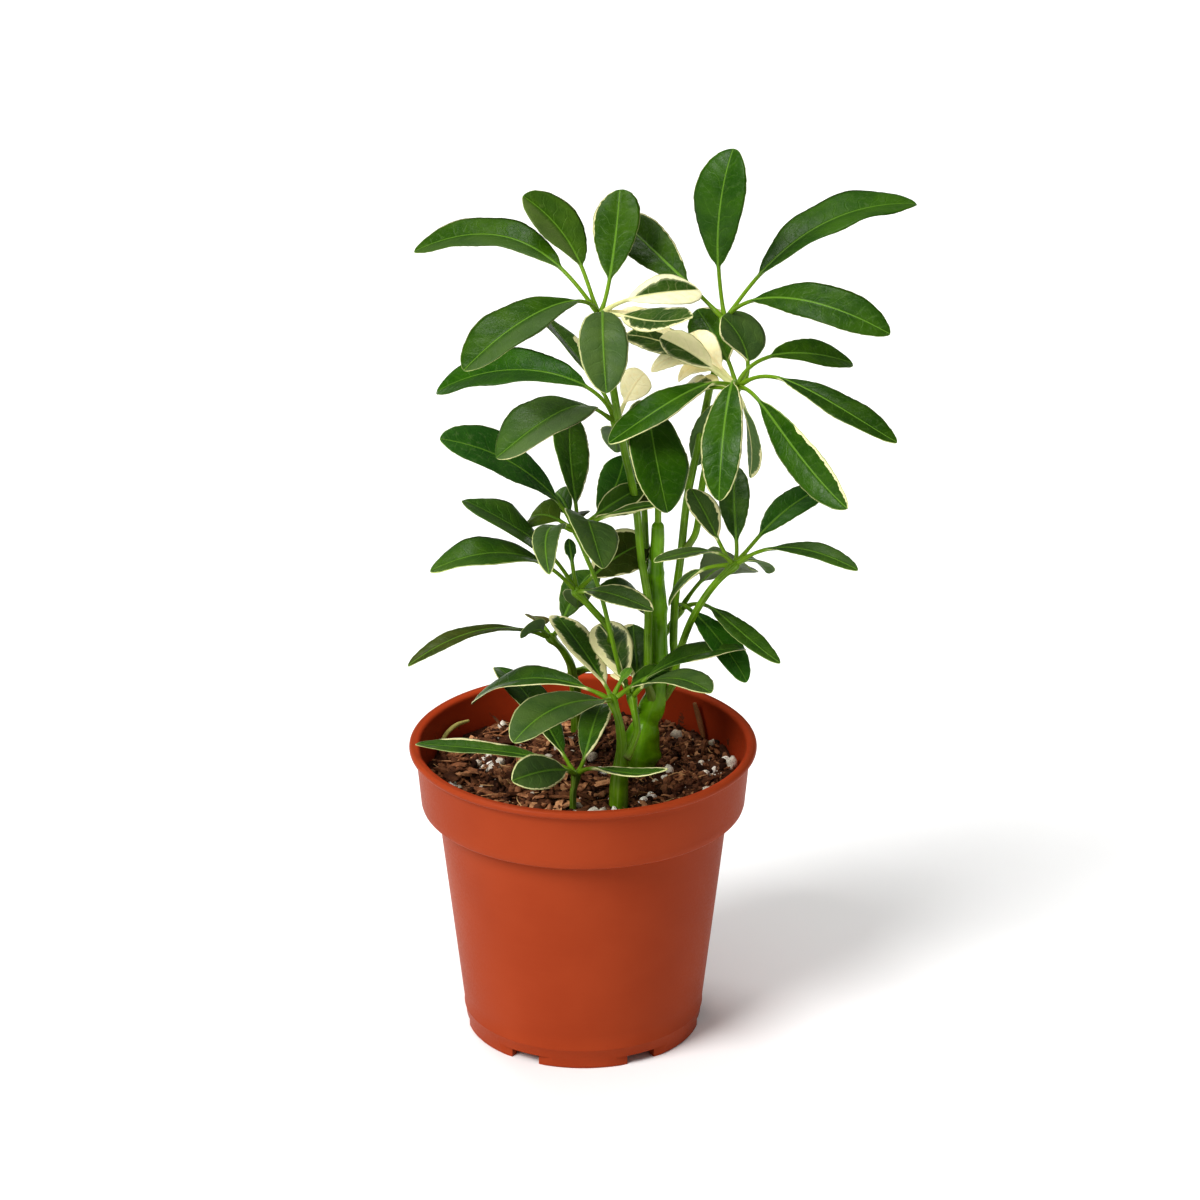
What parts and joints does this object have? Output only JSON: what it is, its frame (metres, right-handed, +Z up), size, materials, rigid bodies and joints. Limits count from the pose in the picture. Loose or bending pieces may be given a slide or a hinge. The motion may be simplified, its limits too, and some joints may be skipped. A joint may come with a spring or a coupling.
{
  "type": "potted plant",
  "caption": "Potted dwarf schefflera with whorls of glossy variegated leaflets on green stalks, in a round nursery pot with a collar and drain notches.",
  "frame": {"origin": "centre of the pot's underside, on the surface that the pot stands on", "axes": "+Z up along the pot's axis, -Y towards the front of the plant, +X to the right of someone facing its front"},
  "size_m": [0.1566, 0.1144, 0.2799],
  "materials": {
    "terracotta_plastic": "moulded, softly satin",
    "potting_mix": "damp bark and fibre with white perlite",
    "green_stem": "smooth green skin, satin",
    "leaf": "waxy and glossy above, cream along some margins"
  },
  "bodies": {
    "root": {"crown_leaflet_1": "leaf", "crown_leaflet_2": "leaf", "crown_leaflet_3": "leaf", "crown_leaflet_4": "leaf", "crown_leaflet_5": "leaf", "crown_leaflet_6": "leaf", "crown_petiole": "green_stem", "front_left_leaflet_1": "leaf", "front_left_leaflet_2": "leaf", "front_left_leaflet_3": "leaf", "front_right_leaflet_1": "leaf", "front_right_leaflet_2": "leaf", "front_right_petiole": "green_stem", "front_stem": "green_stem", "inner_leaflet_1": "leaf", "inner_petiole": "green_stem", "left_leaflet_1": "leaf", "left_leaflet_2": "leaf", "left_leaflet_3": "leaf", "left_petiole": "green_stem", "low_left_leaflet_1": "leaf", "low_left_leaflet_2": "leaf", "low_left_leaflet_3": "leaf", "low_left_petiole": "green_stem", "low_right_leaflet_1": "leaf", "low_right_leaflet_2": "leaf", "low_right_petiole": "green_stem", "mid_left_leaflet_1": "leaf", "mid_left_leaflet_2": "leaf", "mid_left_leaflet_3": "leaf", "mid_left_leaflet_4": "leaf", "mid_left_leaflet_5": "leaf", "mid_left_petiole": "green_stem", "mid_right_leaflet_1": "leaf", "mid_right_leaflet_2": "leaf", "mid_right_leaflet_3": "leaf", "mid_right_leaflet_4": "leaf", "mid_right_petiole": "green_stem", "nursery_pot": "terracotta_plastic", "potting_mix": "potting_mix", "rear_low_leaflet_1": "leaf", "rear_stem": "green_stem", "right_leaflet_1": "leaf", "right_leaflet_2": "leaf", "right_leaflet_3": "leaf", "right_leaflet_4": "leaf", "right_leaflet_5": "leaf", "right_leaflet_6": "leaf", "right_petiole": "green_stem", "soil_level_leaflet_1": "leaf", "soil_level_leaflet_2": "leaf", "soil_level_leaflet_3": "leaf", "soil_level_stem": "green_stem", "trunk": "green_stem", "upper_right_leaflet_1": "leaf", "upper_right_leaflet_2": "leaf", "upper_right_leaflet_3": "leaf", "upper_right_leaflet_4": "leaf", "upper_right_petiole": "green_stem"}
  },
  "joints": []
}
